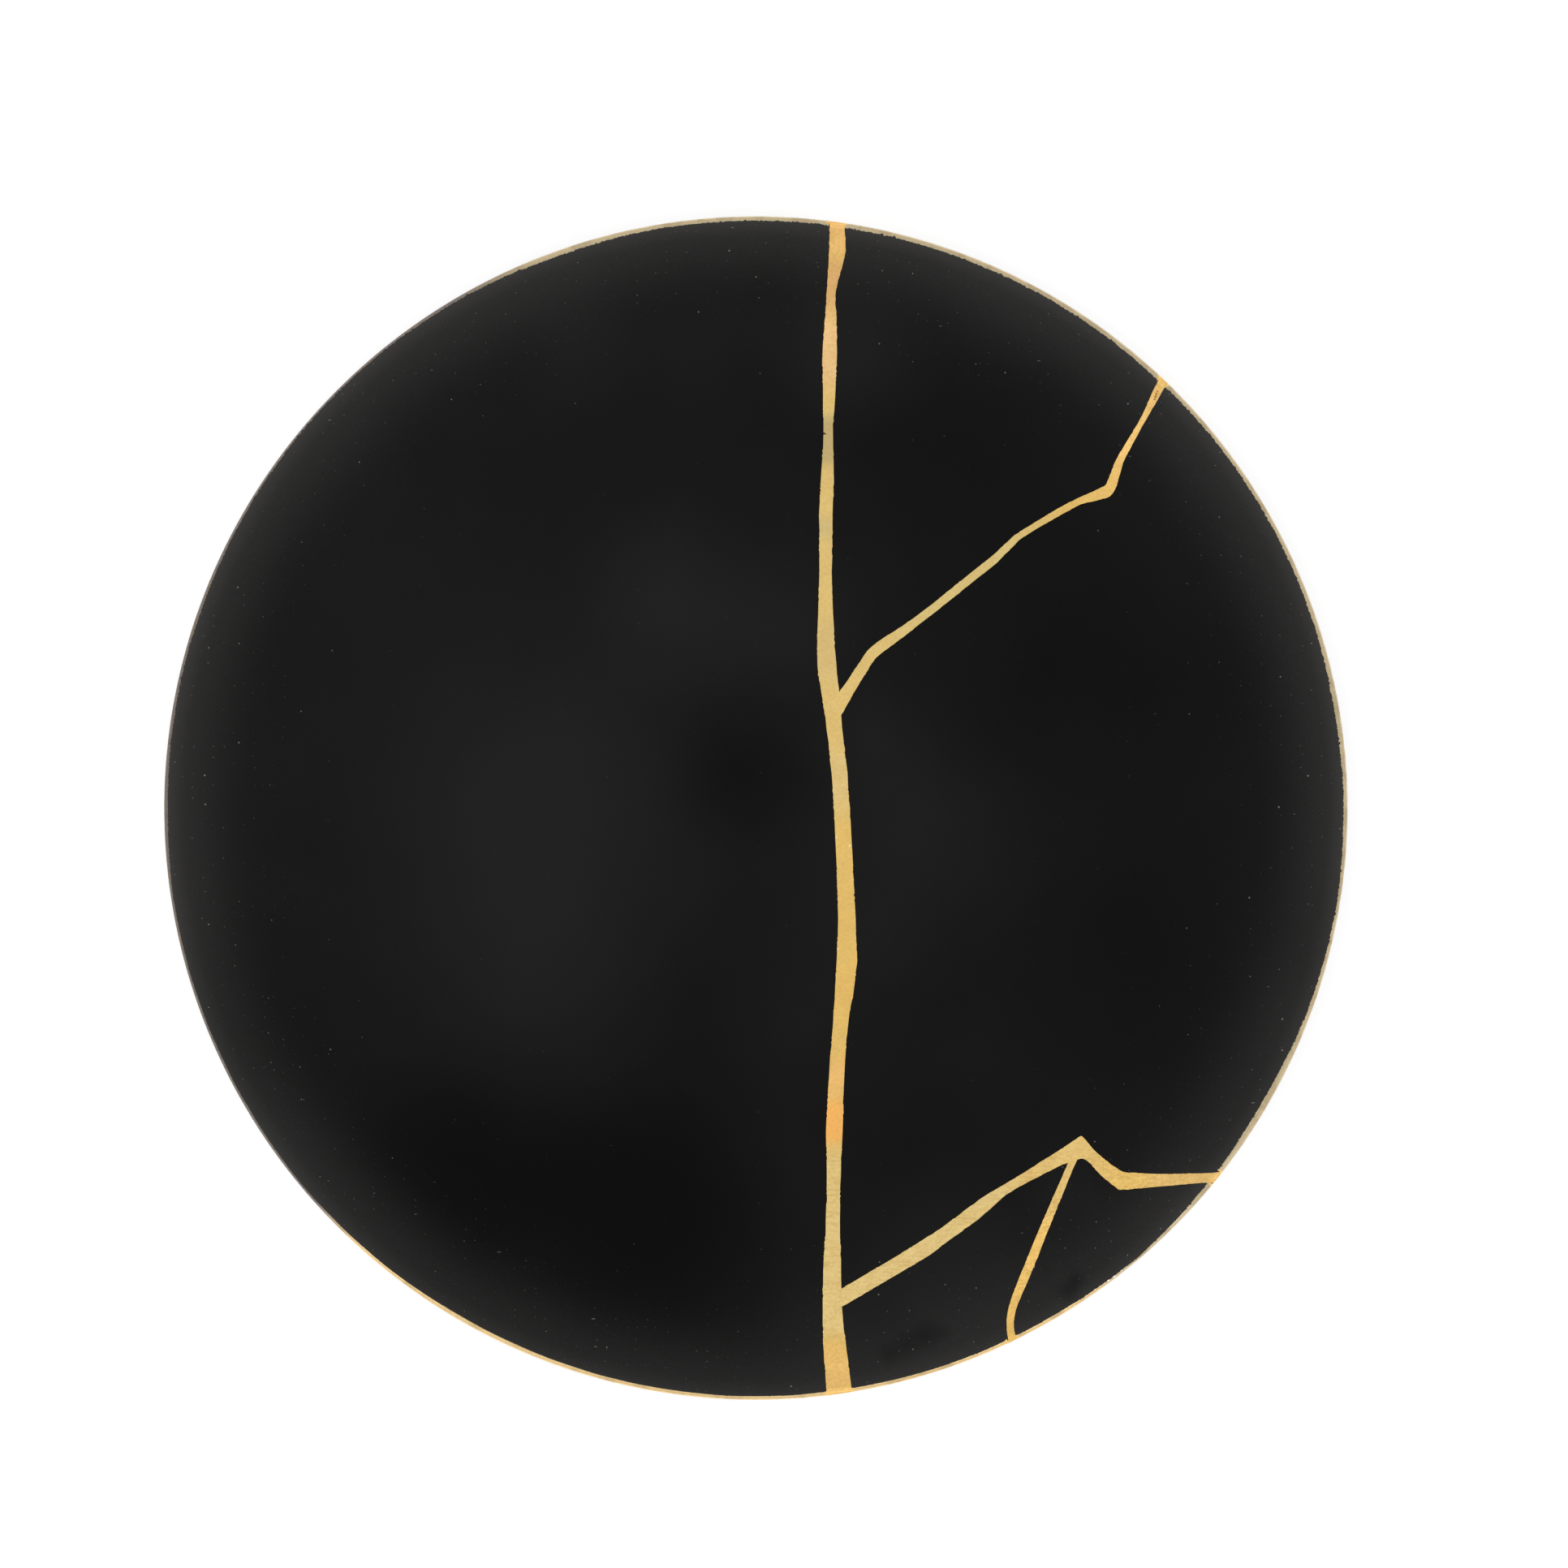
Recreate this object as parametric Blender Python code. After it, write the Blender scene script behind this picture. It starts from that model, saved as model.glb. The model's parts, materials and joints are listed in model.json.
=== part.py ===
"""A kintsugi plate: a round coupe plate, broken into five sherds and joined again with gold.

The plate stands on its foot ring with the middle of the foot at the origin and +Z up. +X is the
right of the plate and +Y its back, as seen from above.
"""

import math

import bmesh
import bpy
from mathutils import Vector
from mathutils.bvhtree import BVHTree

MM = 0.001

# The whole plate
PLATE_RADIUS = 135.0 * MM
PLATE_HEIGHT = 24.0 * MM
GAP = 0.3 * MM
STEPS_AROUND = 96

# The dish: a flat floor, then a wall that curves up to the lip
FLOOR_RADIUS = 90.0 * MM
FLOOR_TOP = 8.5 * MM
WALL_STEPS = 9
INNER_WALL_ANGLE = math.radians(40)
OUTER_WALL_ANGLE = math.radians(46)

# The lip is a half round, and the gold band is the part of it past BAND_THICKNESS from the edge
LIP_RADIUS = 0.9 * MM
BAND_THICKNESS = 0.9 * MM
BODY_LIP_STEPS = 2
BAND_LIP_STEPS = 6

# The foot ring and the shallow recess inside it
FOOT_OUTER = 80.0 * MM
FOOT_INNER = 76.0 * MM
FOOT_EDGE = 0.5 * MM
FOOT_HEIGHT = 3.0 * MM
FOOT_DRAFT = 1.5 * MM
RECESS_HEIGHT = 2.8 * MM

# The cracks seen from above: x, y and width of the gold at each station, in millimetres.
# They run through the whole thickness.
MAIN_SEAM = (
    (18.3, 137.0, 3.1),
    (18.6, 129.0, 3.8),
    (18.3, 125.0, 3.5),
    (17.0, 116.0, 1.9),
    (17.0, 110.0, 2.8),
    (16.9, 103.0, 3.4),
    (16.7, 94.0, 2.8),
    (16.5, 85.0, 2.0),
    (16.4, 77.0, 3.0),
    (16.0, 67.0, 3.1),
    (15.9, 54.0, 2.8),
    (15.9, 44.0, 3.5),
    (16.1, 33.0, 4.4),
    (16.9, 27.0, 4.1),
    (18.0, 18.0, 3.5),
    (19.1, 8.0, 3.6),
    (20.1, -8.0, 3.7),
    (20.8, -25.0, 3.9),
    (20.8, -35.0, 4.7),
    (20.3, -41.0, 4.3),
    (19.3, -49.0, 3.4),
    (18.4, -61.0, 3.5),
    (17.9, -74.0, 3.8),
    (17.8, -84.0, 3.1),
    (17.6, -94.0, 3.1),
    (17.4, -106.0, 4.2),
    (17.4, -115.0, 4.4),
    (18.1, -124.0, 5.3),
    (18.8, -131.0, 5.6),
    (19.4, -137.0, 5.6),
)
BACK_BRANCH = (
    (17.6, 20.6, 4.2),
    (20.0, 24.5, 3.6),
    (22.1, 28.3, 2.6),
    (26.5, 35.2, 2.5),
    (32.2, 39.4, 2.3),
    (38.6, 44.1, 1.8),
    (49.7, 53.0, 2.0),
    (54.5, 56.8, 1.9),
    (58.8, 61.1, 1.7),
    (64.1, 64.7, 1.5),
    (73.8, 70.1, 1.5),
    (77.4, 71.3, 2.1),
    (80.0, 72.3, 2.9),
    (81.7, 74.7, 2.5),
    (83.0, 79.2, 1.7),
    (88.7, 89.3, 1.2),
    (91.2, 94.2, 1.9),
    (94.5, 100.6, 2.3),
)
FRONT_BRANCH = (
    (17.5, -113.0, 3.5),
    (19.7, -111.8, 3.6),
    (31.5, -104.9, 3.7),
    (38.8, -100.5, 3.7),
    (49.7, -92.6, 3.5),
    (56.3, -87.5, 2.3),
    (68.3, -80.6, 2.8),
    (74.5, -77.3, 5.6),
    (77.8, -80.4, 2.8),
    (82.5, -84.6, 4.3),
    (91.5, -85.0, 2.9),
    (101.7, -84.4, 2.2),
    (108.0, -84.2, 2.4),
)
SHORT_BRANCH = (
    (73.2, -78.5, 2.0),
    (71.9, -81.5, 1.6),
    (69.7, -86.9, 1.8),
    (64.2, -100.0, 2.1),
    (59.9, -110.5, 2.0),
    (58.0, -117.9, 1.6),
    (59.0, -125.0, 2.3),
)
SEAMS = (MAIN_SEAM, BACK_BRANCH, FRONT_BRANCH, SHORT_BRANCH)

# A point inside each sherd, in millimetres, which gives the sherd its name
SHERD_MIDDLES = {
    "sherd_left": (-50.0, 0.0),
    "sherd_back_right": (50.0, 90.0),
    "sherd_right": (75.0, 0.0),
    "sherd_front_right": (88.0, -95.0),
    "sherd_front": (40.0, -113.0),
}

# Round pieces are shaded smooth up to this angle
SHARP_ANGLE = math.radians(30)

# Colour, roughness and metallic of each material
BLACK_GLAZE = ((0.012, 0.012, 0.012), 0.42, 0.0)
SEAM_GOLD = ((0.77, 0.56, 0.22), 0.45, 1.0)
RIM_GOLD = ((0.74, 0.60, 0.33), 0.3, 1.0)


def clear_scene():
    """Empty the scene of whatever objects it starts with."""
    for obj in list(bpy.data.objects):
        bpy.data.objects.remove(obj, do_unlink=True)


def make_material(name, finish):
    """A plain Principled material from a colour, a roughness and a metallic value."""
    colour, roughness, metallic = finish
    material = bpy.data.materials.new(name)
    material.use_nodes = True
    shader = material.node_tree.nodes["Principled BSDF"]
    shader.inputs["Base Color"].default_value = (*colour, 1.0)
    shader.inputs["Roughness"].default_value = roughness
    shader.inputs["Metallic"].default_value = metallic
    material.diffuse_color = (*colour, 1.0)
    return material


def mesh_from(bm, name):
    """Turn a bmesh into a mesh whose faces point outwards."""
    bmesh.ops.recalc_face_normals(bm, faces=bm.faces)
    mesh = bpy.data.meshes.new(name)
    bm.to_mesh(mesh)
    bm.free()
    return mesh


def add_object(name, mesh):
    """Place a mesh in the scene as a named object."""
    obj = bpy.data.objects.new(name, mesh)
    bpy.context.scene.collection.objects.link(obj)
    return obj


def finish_object(obj, material):
    """Give a piece its material, and shade it smooth up to its sharp edges."""
    obj.data.materials.clear()
    obj.data.materials.append(material)
    obj.data.shade_smooth()
    obj.data.set_sharp_from_angle(angle=SHARP_ANGLE)


def wall_curve(start, end, end_angle):
    """Points (r, z) from a level start up to the end, where the curve climbs at end_angle.

    The height is a power of the distance, and the angle at the end settles the power.
    """
    run = end[0] - start[0]
    rise = end[1] - start[1]
    power = math.tan(end_angle) * run / rise
    shares = [step / WALL_STEPS for step in range(WALL_STEPS + 1)]
    return [(start[0] + run * share, start[1] + rise * share**power) for share in shares]


def lip_points(first_angle, last_angle, steps):
    """Points (r, z) on the lip's half round, between two angles above the horizontal."""
    points = []
    for step in range(steps + 1):
        angle = first_angle + (last_angle - first_angle) * step / steps
        r = PLATE_RADIUS - LIP_RADIUS + LIP_RADIUS * math.cos(angle)
        z = PLATE_HEIGHT - LIP_RADIUS + LIP_RADIUS * math.sin(angle)
        points.append((r, z))
    return points


def lip_angle_at(radius):
    """Angle above the horizontal where the top of the lip's half round passes a radius."""
    return math.acos((radius - PLATE_RADIUS + LIP_RADIUS) / LIP_RADIUS)


def height_at(points, radius):
    """Height where a rising run of (r, z) points passes a radius."""
    for (r0, z0), (r1, z1) in zip(points[:-1], points[1:]):
        if r0 <= radius <= r1:
            return z0 + (z1 - z0) * (radius - r0) / (r1 - r0)
    raise ValueError("the radius is outside the curve")


def inner_wall():
    """The dish's wall, from the edge of the floor to the lip."""
    lip = lip_points(math.pi / 2 + INNER_WALL_ANGLE, math.pi / 2, 1)[0]
    return wall_curve((FLOOR_RADIUS, FLOOR_TOP), lip, INNER_WALL_ANGLE)


def outer_wall():
    """The plate's underside, from the foot to the lip."""
    lip = lip_points(OUTER_WALL_ANGLE - math.pi / 2, 0.0, 1)[0]
    foot = (FOOT_OUTER + FOOT_DRAFT, FOOT_HEIGHT)
    return wall_curve(foot, lip, OUTER_WALL_ANGLE)


def body_profile():
    """Half section of the fired body, from the floor's edge round the lip to the recess.

    The lip stops short of the gold band, whose inside is a plain cylinder.
    """
    reach = PLATE_RADIUS - BAND_THICKNESS - GAP
    lip = lip_points(math.pi / 2 + INNER_WALL_ANGLE, lip_angle_at(reach), BODY_LIP_STEPS)
    under = [point for point in outer_wall() if point[0] < reach]
    under_edge = (reach, height_at(outer_wall(), reach))
    foot = [
        (FOOT_OUTER, FOOT_EDGE),
        (FOOT_OUTER - FOOT_EDGE, 0.0),
        (FOOT_INNER + FOOT_EDGE, 0.0),
        (FOOT_INNER, FOOT_EDGE),
        (FOOT_INNER - FOOT_DRAFT, RECESS_HEIGHT),
    ]
    return inner_wall() + lip[1:] + [under_edge] + under[::-1] + foot


def band_profile():
    """Section of the gold band: the outer part of the lip's half round."""
    inside = PLATE_RADIUS - BAND_THICKNESS
    lip = lip_points(lip_angle_at(inside), OUTER_WALL_ANGLE - math.pi / 2, BAND_LIP_STEPS)
    return lip + [(inside, height_at(outer_wall(), inside))]


def spin_profile(profile, closed):
    """Turn a section (r, z) once round the plate's axis."""
    bm = bmesh.new()
    verts = [bm.verts.new((r, 0.0, z)) for r, z in profile]
    edges = [bm.edges.new(pair) for pair in zip(verts[:-1], verts[1:])]
    if closed:
        edges.append(bm.edges.new((verts[-1], verts[0])))
    bmesh.ops.spin(
        bm,
        geom=verts + edges,
        cent=(0.0, 0.0, 0.0),
        axis=(0.0, 0.0, 1.0),
        dvec=(0.0, 0.0, 0.0),
        angle=math.tau,
        steps=STEPS_AROUND,
        use_merge=True,
    )
    if not closed:
        open_edges = [edge for edge in bm.edges if edge.is_boundary]
        bmesh.ops.holes_fill(bm, edges=open_edges, sides=0)
    return bm


def crack_prism(name, stations, spare):
    """An upright prism over one crack, wider than the gold by the spare on each side."""
    points = [Vector((x * MM, y * MM)) for x, y, width in stations]
    bm = bmesh.new()
    rows = []
    for index, point in enumerate(points):
        before = points[max(index - 1, 0)]
        after = points[min(index + 1, len(points) - 1)]
        along = (after - before).normalized()
        across = Vector((-along.y, along.x)) * (stations[index][2] * MM / 2 + spare)
        rows.append([bm.verts.new((*(point + side * across), -PLATE_HEIGHT)) for side in (1, -1)])
    for (left, right), (next_left, next_right) in zip(rows[:-1], rows[1:]):
        bm.faces.new((left, right, next_right, next_left))
    top = bmesh.ops.extrude_face_region(bm, geom=bm.faces[:])
    raised = [item for item in top["geom"] if isinstance(item, bmesh.types.BMVert)]
    bmesh.ops.translate(bm, vec=(0.0, 0.0, 3 * PLATE_HEIGHT), verts=raised)
    return add_object(name, mesh_from(bm, name))


def apply_boolean(obj, operation, other):
    """Combine an object's mesh with another object, and keep the result as its mesh."""
    modifier = obj.modifiers.new(operation.lower(), "BOOLEAN")
    modifier.operation = operation
    modifier.object = other
    modifier.solver = "EXACT"
    graph = bpy.context.evaluated_depsgraph_get()
    mesh = bpy.data.meshes.new_from_object(obj.evaluated_get(graph))
    obj.modifiers.remove(modifier)
    obj.data = mesh


def crack_web(name, spare):
    """All the cracks as one prism, widened by the spare on each side."""
    web = crack_prism(name, SEAMS[0], spare)
    for number, stations in enumerate(SEAMS[1:]):
        branch = crack_prism(f"{name}_branch_{number}", stations, spare)
        apply_boolean(web, "UNION", branch)
        bpy.data.objects.remove(branch)
    return web


def whole_body(name):
    """The fired body before it broke."""
    return add_object(name, mesh_from(spin_profile(body_profile(), closed=False), name))


def loose_pieces(mesh):
    """The sets of face indices that hang together."""
    bm = bmesh.new()
    bm.from_mesh(mesh)
    waiting = set(bm.faces)
    pieces = []
    while waiting:
        piece = set()
        reached = [waiting.pop()]
        while reached:
            face = reached.pop()
            piece.add(face.index)
            near = {other for edge in face.edges for other in edge.link_faces} & waiting
            waiting -= near
            reached.extend(near)
        pieces.append(piece)
    bm.free()
    return pieces


def split_sherds(broken, material):
    """Make one object of each loose piece, named by the middle point that lies on it."""
    down = Vector((0.0, 0.0, -1.0))
    for piece in loose_pieces(broken.data):
        bm = bmesh.new()
        bm.from_mesh(broken.data)
        others = [face for face in bm.faces if face.index not in piece]
        bmesh.ops.delete(bm, geom=others, context="FACES")
        tree = BVHTree.FromBMesh(bm)
        for name, (x, y) in SHERD_MIDDLES.items():
            above = Vector((x * MM, y * MM, 2 * PLATE_HEIGHT))
            if tree.ray_cast(above, down)[0]:
                finish_object(add_object(name, mesh_from(bm, name)), material)
                break


def build_sherds():
    """The five black sherds, each a gap away from the gold."""
    broken = whole_body("broken_body")
    web = crack_web("widened_cracks", GAP)
    apply_boolean(broken, "DIFFERENCE", web)
    bpy.data.objects.remove(web)
    split_sherds(broken, make_material("black_glaze", BLACK_GLAZE))
    bpy.data.objects.remove(broken)


def build_gold_seams():
    """The gold in the cracks, flush with the body above and below."""
    seams = whole_body("gold_seams")
    web = crack_web("cracks", 0.0)
    apply_boolean(seams, "INTERSECT", web)
    bpy.data.objects.remove(web)
    finish_object(seams, make_material("seam_gold", SEAM_GOLD))


def build_gold_rim():
    """The gold band round the edge of the lip."""
    rim = add_object("gold_rim", mesh_from(spin_profile(band_profile(), closed=True), "gold_rim"))
    finish_object(rim, make_material("rim_gold", RIM_GOLD))


def main():
    clear_scene()
    build_sherds()
    build_gold_seams()
    build_gold_rim()


main()
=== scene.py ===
"""The looks of a kintsugi plate: five black sherds, the gold that joins them and a gilded lip.

Lengths are in metres and +Z is up. The foot ring stands at the origin, +X is the plate's right
and +Y its back, as seen from above.
"""

import json
import logging
import math
from collections.abc import Sequence
from dataclasses import dataclass
from enum import Enum

import bmesh
import bpy
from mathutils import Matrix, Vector, noise
from mathutils.bvhtree import BVHTree

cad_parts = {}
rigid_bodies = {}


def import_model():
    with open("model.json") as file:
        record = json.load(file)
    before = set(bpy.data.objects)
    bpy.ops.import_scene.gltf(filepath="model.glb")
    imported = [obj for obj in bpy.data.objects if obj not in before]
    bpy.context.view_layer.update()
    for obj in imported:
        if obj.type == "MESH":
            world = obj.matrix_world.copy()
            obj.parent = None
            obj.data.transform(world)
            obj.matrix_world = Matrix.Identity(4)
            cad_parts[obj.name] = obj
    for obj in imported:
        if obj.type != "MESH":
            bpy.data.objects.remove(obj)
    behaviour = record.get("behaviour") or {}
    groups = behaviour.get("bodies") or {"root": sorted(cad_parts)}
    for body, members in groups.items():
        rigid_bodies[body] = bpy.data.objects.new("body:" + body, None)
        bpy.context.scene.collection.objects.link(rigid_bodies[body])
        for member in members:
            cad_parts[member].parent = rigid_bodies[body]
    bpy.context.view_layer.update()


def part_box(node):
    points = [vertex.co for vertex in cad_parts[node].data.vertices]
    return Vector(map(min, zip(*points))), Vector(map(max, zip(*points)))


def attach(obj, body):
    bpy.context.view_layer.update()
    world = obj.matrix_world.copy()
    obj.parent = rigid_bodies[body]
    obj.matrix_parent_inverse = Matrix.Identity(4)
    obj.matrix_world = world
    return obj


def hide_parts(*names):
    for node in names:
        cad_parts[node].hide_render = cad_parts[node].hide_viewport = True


MM = 0.001
NOISE_SEED = 5
LEVEL = 1e-9
ROUNDED_FROM = math.radians(52)
CRISP_FROM = math.radians(50)
CRUMB_SHARE = 0.25
BROAD_FACE_LEAD = 80
LOG = logging.getLogger("kintsugi_plate")

Tint = tuple[float, float, float]
Spot = tuple[float, float]
Station = tuple[float, float, float]


class Slot(Enum):
    """The record's material slots."""

    BLACK_GLAZE = "black_glaze"
    SEAM_GOLD = "seam_gold"
    RIM_GOLD = "rim_gold"


class Cut(Enum):
    """How one solid is combined with another."""

    JOIN = "UNION"
    TAKE_AWAY = "DIFFERENCE"
    KEEP_SHARED = "INTERSECT"


class Sherd(Enum):
    """The five sherds, each with the node that it stands for and a point on it in plan."""

    LEFT = ("sherd_left", (-50.0, 0.0))
    BACK_RIGHT = ("sherd_back_right", (50.0, 90.0))
    RIGHT = ("sherd_right", (75.0, 0.0))
    FRONT_RIGHT = ("sherd_front_right", (88.0, -95.0))
    FRONT = ("sherd_front", (40.0, -113.0))

    @property
    def node(self) -> str:
        """The name of the node that this sherd stands for."""
        return self.value[0]

    @property
    def middle(self) -> Spot:
        """A point on the sherd, seen from above, in millimetres."""
        return self.value[1]


def clear_scene() -> None:
    """Remove every object that the new file starts with."""
    for obj in list(bpy.data.objects):
        bpy.data.objects.remove(obj, do_unlink=True)


def add_object(name: str, mesh: bpy.types.Mesh) -> bpy.types.Object:
    """Place a mesh in the scene at the origin.

    Args:
        name: The new object's name.
        mesh: The mesh, with its place in its vertices.

    Returns:
        The new object.
    """
    obj = bpy.data.objects.new(name, mesh)
    bpy.context.scene.collection.objects.link(obj)
    return obj


def mesh_from(bm: bmesh.types.BMesh, name: str) -> bpy.types.Mesh:
    """Turn a closed bmesh into a mesh that faces outwards.

    Args:
        bm: The shape, which is freed.
        name: The mesh's name.

    Returns:
        The new mesh.
    """
    bmesh.ops.recalc_face_normals(bm, faces=bm.faces)
    mesh = bpy.data.meshes.new(name)
    bm.to_mesh(mesh)
    bm.free()
    return mesh


def turn_round(bm: bmesh.types.BMesh, verts: list[bmesh.types.BMVert], steps: int) -> None:
    """Join points to a line and turn it once round the plate's axis.

    Args:
        bm: The shape that they belong to.
        verts: The points, in order.
        steps: How many faces the turn is made of.
    """
    edges = [bm.edges.new(pair) for pair in zip(verts[:-1], verts[1:])]
    bmesh.ops.spin(
        bm,
        geom=verts + edges,
        cent=(0.0, 0.0, 0.0),
        axis=(0.0, 0.0, 1.0),
        dvec=(0.0, 0.0, 0.0),
        angle=math.tau,
        steps=steps,
        use_merge=True,
    )


def combined(obj: bpy.types.Object, cut: Cut, other: bpy.types.Object) -> bpy.types.Mesh:
    """Combine two solids, which both stay as they are.

    Args:
        obj: The first solid.
        cut: How the two are combined.
        other: The second solid.

    Returns:
        The mesh of the result.
    """
    modifier = obj.modifiers.new(cut.name.lower(), "BOOLEAN")
    modifier.operation = cut.value
    modifier.object = other
    modifier.solver = "EXACT"
    graph = bpy.context.evaluated_depsgraph_get()
    mesh = bpy.data.meshes.new_from_object(obj.evaluated_get(graph))
    obj.modifiers.remove(modifier)
    return mesh


def linked_faces(start: bmesh.types.BMFace) -> set[bmesh.types.BMFace]:
    """Find every face that hangs together with one.

    Args:
        start: The face to start from.

    Returns:
        That face and all the faces joined to it.
    """
    found = {start}
    waiting = [start]
    while waiting:
        for edge in waiting.pop().edges:
            fresh = set(edge.link_faces) - found
            found |= fresh
            waiting.extend(fresh)
    return found


def put_in_order(bm: bmesh.types.BMesh) -> None:
    """Sort a shape's parts by place, since a cut leaves them in no fixed order.

    Args:
        bm: The shape.
    """
    keys = (
        (bm.verts, lambda vert: vert.co[:]),
        (bm.edges, lambda edge: sorted(vert.index for vert in edge.verts)),
        (bm.faces, lambda face: sorted(vert.index for vert in face.verts)),
    )
    for parts, key in keys:
        ranks = {part: rank for rank, part in enumerate(sorted(parts, key=key))}
        parts.sort(key=ranks.get)
        parts.index_update()


def soften_edges(bm: bmesh.types.BMesh, width: float) -> None:
    """Round the sharp edges of a cut shape a little.

    Args:
        bm: The shape.
        width: How far the rounding reaches from the edge.
    """
    put_in_order(bm)
    crumb = width * CRUMB_SHARE
    bmesh.ops.remove_doubles(bm, verts=bm.verts, dist=crumb)
    bmesh.ops.dissolve_degenerate(bm, edges=bm.edges, dist=crumb)
    sharp = [edge for edge in bm.edges if edge.calc_face_angle(0.0) > ROUNDED_FROM]
    bmesh.ops.bevel(
        bm,
        geom=sharp,
        offset=width,
        offset_type="OFFSET",
        affect="EDGES",
        segments=2,
        profile=0.5,
        material=-1,
        clamp_overlap=False,
    )


def dress(
    bm: bmesh.types.BMesh, name: str, material: bpy.types.Material, node: str
) -> bpy.types.Object:
    """Make a finished piece of a shape, and hang it on the plate's body in place of a node.

    Its broad faces stay flat when it is shaded smooth, and its sharp edges stay crisp.

    Args:
        bm: The shape, which is freed.
        name: The piece's name.
        material: Its finish.
        node: The node that it stands for.

    Returns:
        The piece.
    """
    obj = add_object(name, mesh_from(bm, name))
    obj.data.materials.append(material)
    obj.data.shade_smooth()
    obj.data.set_sharp_from_angle(angle=CRISP_FROM)
    weighted = obj.modifiers.new("broad_faces_lead", "WEIGHTED_NORMAL")
    weighted.mode = "FACE_AREA"
    weighted.weight = BROAD_FACE_LEAD
    weighted.keep_sharp = True
    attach(obj, "root")
    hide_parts(node)
    return obj


# The finishes


class NodeBench:
    """A material and short calls for the nodes that the finishes share."""

    FIRST_COLOUR = 6
    SECOND_COLOUR = 7
    MIXED_COLOUR = 2

    def __init__(self, name: str) -> None:
        """Start a material.

        Args:
            name: The material's name.
        """
        self.material = bpy.data.materials.new(name)
        self.material.use_nodes = True
        self.tree = self.material.node_tree
        self.shader = self.tree.nodes["Principled BSDF"]
        coordinates = self.add("ShaderNodeTexCoord")
        in_millimetres = self.add("ShaderNodeVectorMath", operation="SCALE")
        in_millimetres.inputs["Scale"].default_value = 1 / MM
        self.tree.links.new(coordinates.outputs["Object"], in_millimetres.inputs[0])
        self.place = in_millimetres.outputs[0]
        split = self.add("ShaderNodeSeparateXYZ")
        self.tree.links.new(self.place, split.inputs[0])
        self.x, self.y, self.z = split.outputs

    def add(self, kind: str, **settings: object) -> bpy.types.Node:
        """Add one node.

        Args:
            kind: The node's type.
            settings: Values for its properties.

        Returns:
            The new node.
        """
        node = self.tree.nodes.new(kind)
        for name, value in settings.items():
            setattr(node, name, value)
        return node

    def feed(self, socket: bpy.types.NodeSocket, value: object) -> None:
        """Link another node's output to a socket, or set the socket to a plain value.

        Args:
            socket: The input that is fed.
            value: An output socket, a number or a tint.
        """
        if isinstance(value, bpy.types.NodeSocket):
            self.tree.links.new(value, socket)
        elif isinstance(value, tuple) and len(value) < len(socket.default_value):
            socket.default_value = (*value, 1.0)
        else:
            socket.default_value = value

    def maths(self, operation: str, *values: object) -> bpy.types.NodeSocket:
        """Work out a value from others.

        Args:
            operation: The Math node's operation.
            values: As many sockets or numbers as it takes.

        Returns:
            The socket that holds the result.
        """
        node = self.add("ShaderNodeMath", operation=operation)
        for socket, value in zip(node.inputs, values):
            self.feed(socket, value)
        return node.outputs[0]

    def product(self, *values: object) -> bpy.types.NodeSocket:
        """Multiply several sockets or numbers.

        Args:
            values: The sockets or numbers, two or more.

        Returns:
            The socket that holds their product.
        """
        result = values[0]
        for value in values[1:]:
            result = self.maths("MULTIPLY", result, value)
        return result

    def share(self, value: object, start: float, end: float) -> bpy.types.NodeSocket:
        """Ease from 0 to 1 while a value goes from start to end.

        Args:
            value: The socket that is read.
            start: Where the result is 0.
            end: Where the result is 1.

        Returns:
            The socket that holds the eased share.
        """
        node = self.add("ShaderNodeMapRange", interpolation_type="SMOOTHSTEP")
        self.feed(node.inputs["Value"], value)
        self.feed(node.inputs["From Min"], start)
        self.feed(node.inputs["From Max"], end)
        return node.outputs["Result"]

    def band(self, value: object, low: float, high: float, fade: float) -> bpy.types.NodeSocket:
        """Mark a stretch of a value, with soft ends.

        Args:
            value: The socket that is read.
            low: Where the stretch starts.
            high: Where it ends.
            fade: How far the ends fade.

        Returns:
            A socket that is 1 in the stretch and 0 away from it.
        """
        return self.product(
            self.share(value, low - fade, low + fade),
            self.share(value, high + fade, high - fade),
        )

    def centred(self, value: bpy.types.NodeSocket) -> bpy.types.NodeSocket:
        """Move a value that goes from 0 to 1 so that its middle is at 0."""
        return self.maths("SUBTRACT", value, 0.5)

    def grain(
        self, size: float, detail: float = 3.0, length: float = 1.0, turn: float = 0.0
    ) -> bpy.types.NodeSocket:
        """Cloudy noise from 0 to 1.

        Args:
            size: The size of its largest patches, in millimetres.
            detail: How many finer layers it has.
            length: How much longer the patches are along x.
            turn: Angle of the pattern about the plate's axis.

        Returns:
            The socket that holds the noise.
        """
        mapping = self.add("ShaderNodeMapping")
        mapping.inputs["Rotation"].default_value = (0.0, 0.0, turn)
        mapping.inputs["Scale"].default_value = (1 / length, 1.0, 1.0)
        self.tree.links.new(self.place, mapping.inputs["Vector"])
        node = self.add("ShaderNodeTexNoise")
        self.tree.links.new(mapping.outputs[0], node.inputs["Vector"])
        node.inputs["Scale"].default_value = 1 / size
        node.inputs["Detail"].default_value = detail
        return node.outputs[0]

    def distance(self, centre: Spot = (0.0, 0.0)) -> bpy.types.NodeSocket:
        """Measure in plan how far away a point is.

        Args:
            centre: The point, in millimetres. Left out, it is on the plate's axis.

        Returns:
            The socket that holds the distance, in millimetres.
        """
        across = self.maths("SUBTRACT", self.x, centre[0])
        along = self.maths("SUBTRACT", self.y, centre[1])
        squares = self.maths("ADD", self.product(across, across), self.product(along, along))
        return self.maths("SQRT", squares)

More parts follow.
